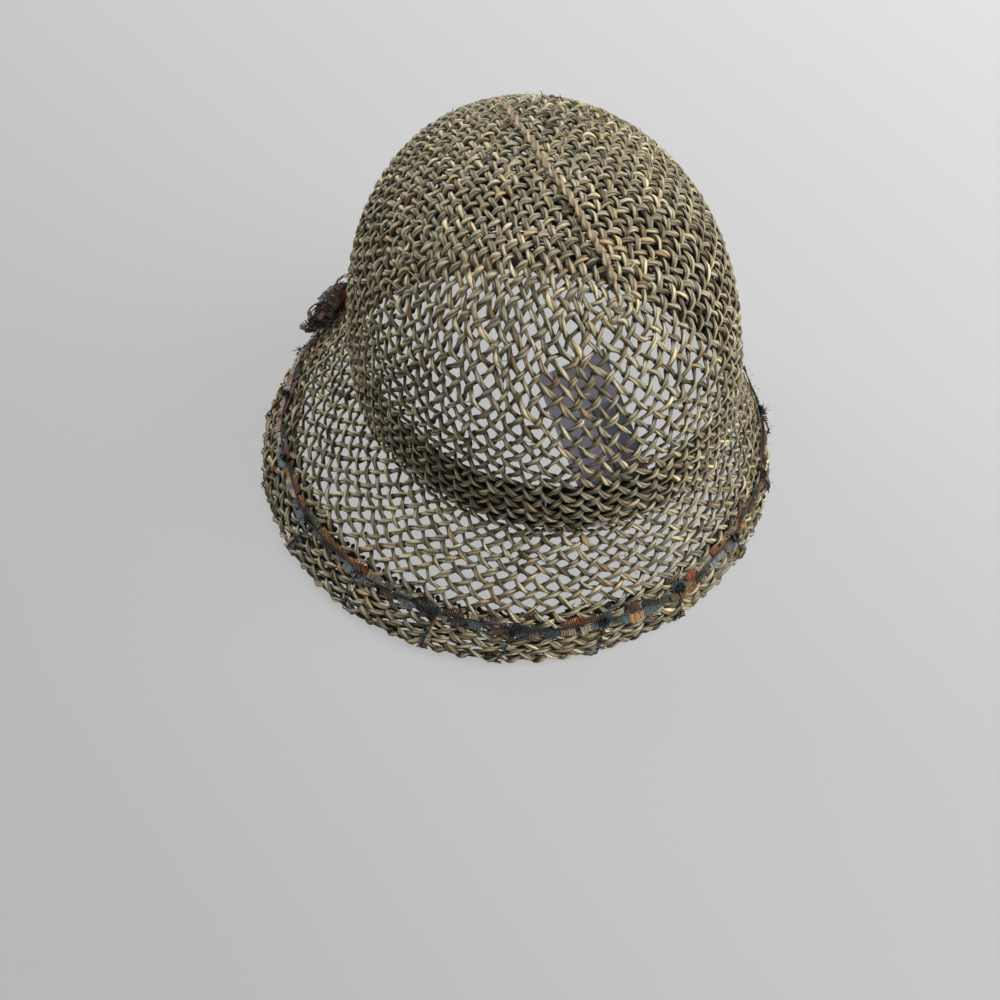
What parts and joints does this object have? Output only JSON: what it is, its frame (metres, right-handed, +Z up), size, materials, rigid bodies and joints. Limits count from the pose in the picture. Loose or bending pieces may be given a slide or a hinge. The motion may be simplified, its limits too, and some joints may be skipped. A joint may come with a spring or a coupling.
{
  "type": "cloche hat",
  "caption": "Open-weave seagrass cloche with a domed crown, a flared brim, an inner sweatband and a ladder-yarn blanket stitch.",
  "frame": {"origin": "centre of the brim's lower edge, on the plane it rests on", "axes": "+Z up through the crown, -Y the way the wearer faces, +X the wearer's left, where the brim sweeps widest"},
  "size_m": [0.239, 0.2512, 0.1632],
  "materials": {
    "seagrass": "dry woven two-ply grass",
    "pale_grass": "dry twisted grass",
    "black_thread": "fuzzy thread",
    "grosgrain": "ribbed ribbon, slight sheen",
    "satin": "thin satin ribbon",
    "ladder_yarn": "ladder ribbon yarn, black rails and coloured rungs"
  },
  "bodies": {
    "hat": {"woven_body": "seagrass", "crown_pale_strand": "pale_grass", "crown_thread_end": "black_thread", "sweatband": "grosgrain", "sweatband_stitches": "black_thread", "label_stitches": "black_thread", "trim_running_yarn": "ladder_yarn", "trim_edge_legs": "ladder_yarn", "trim_knots": "ladder_yarn", "trim_yarn_tails": "ladder_yarn", "rosette_outer_loops": "ladder_yarn", "rosette_inner_loops": "ladder_yarn", "rosette_centre_knot": "ladder_yarn", "rosette_stitches": "black_thread"},
    "label": {"care_label": "satin"}
  },
  "joints": [
    {"name": "care_label_flap", "type": "hinge", "parent": "hat", "child": "label", "pos_m": [-0.01973, 0.09116, 0.054], "axis": [0.9858, 0.1242, -0.1126], "range_deg": [0, 100]}
  ]
}
